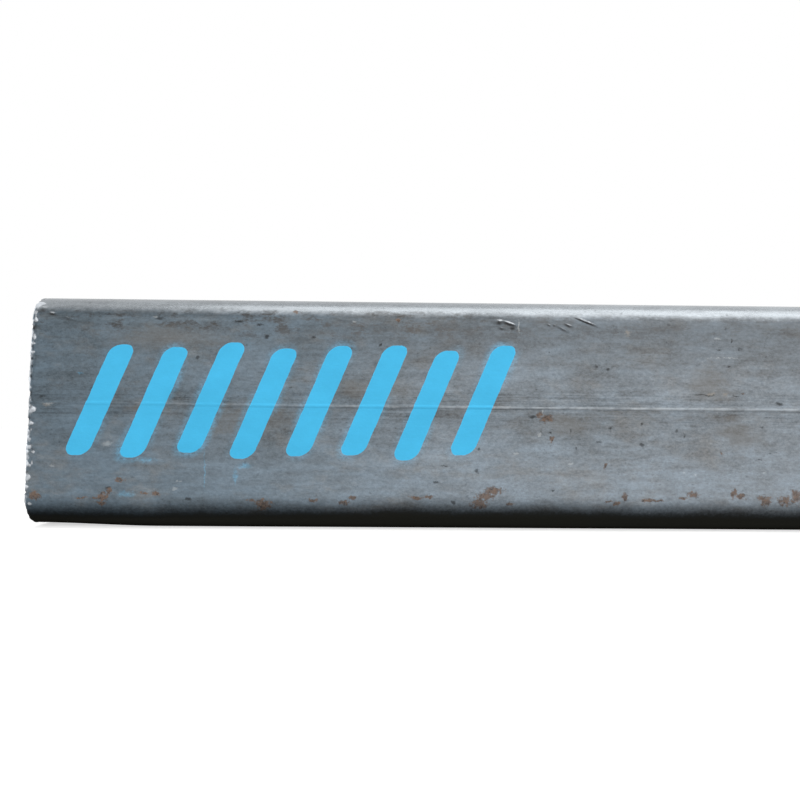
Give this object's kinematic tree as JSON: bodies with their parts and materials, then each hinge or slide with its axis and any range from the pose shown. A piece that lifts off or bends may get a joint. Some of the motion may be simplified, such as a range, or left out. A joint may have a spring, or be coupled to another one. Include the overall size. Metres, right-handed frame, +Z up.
{
  "type": "square steel tube",
  "caption": "Seam-welded square hollow section with rounded corners and saw-cut open ends, a length of bar stock for frames, posts and brackets.",
  "frame": {"origin": "on the floor under the middle of the bar, half way between its two cut ends", "axes": "+X along the bar, +Z up, and the face with the weld seam looks along -Y"},
  "size_m": [1, 0.1003, 0.1],
  "materials": {
    "mill_steel": "blue-grey mill scale with rust spots, bare bright burrs at the cuts and sprayed blue marks"
  },
  "bodies": {
    "root": {"square_tube": "mill_steel"}
  },
  "joints": []
}
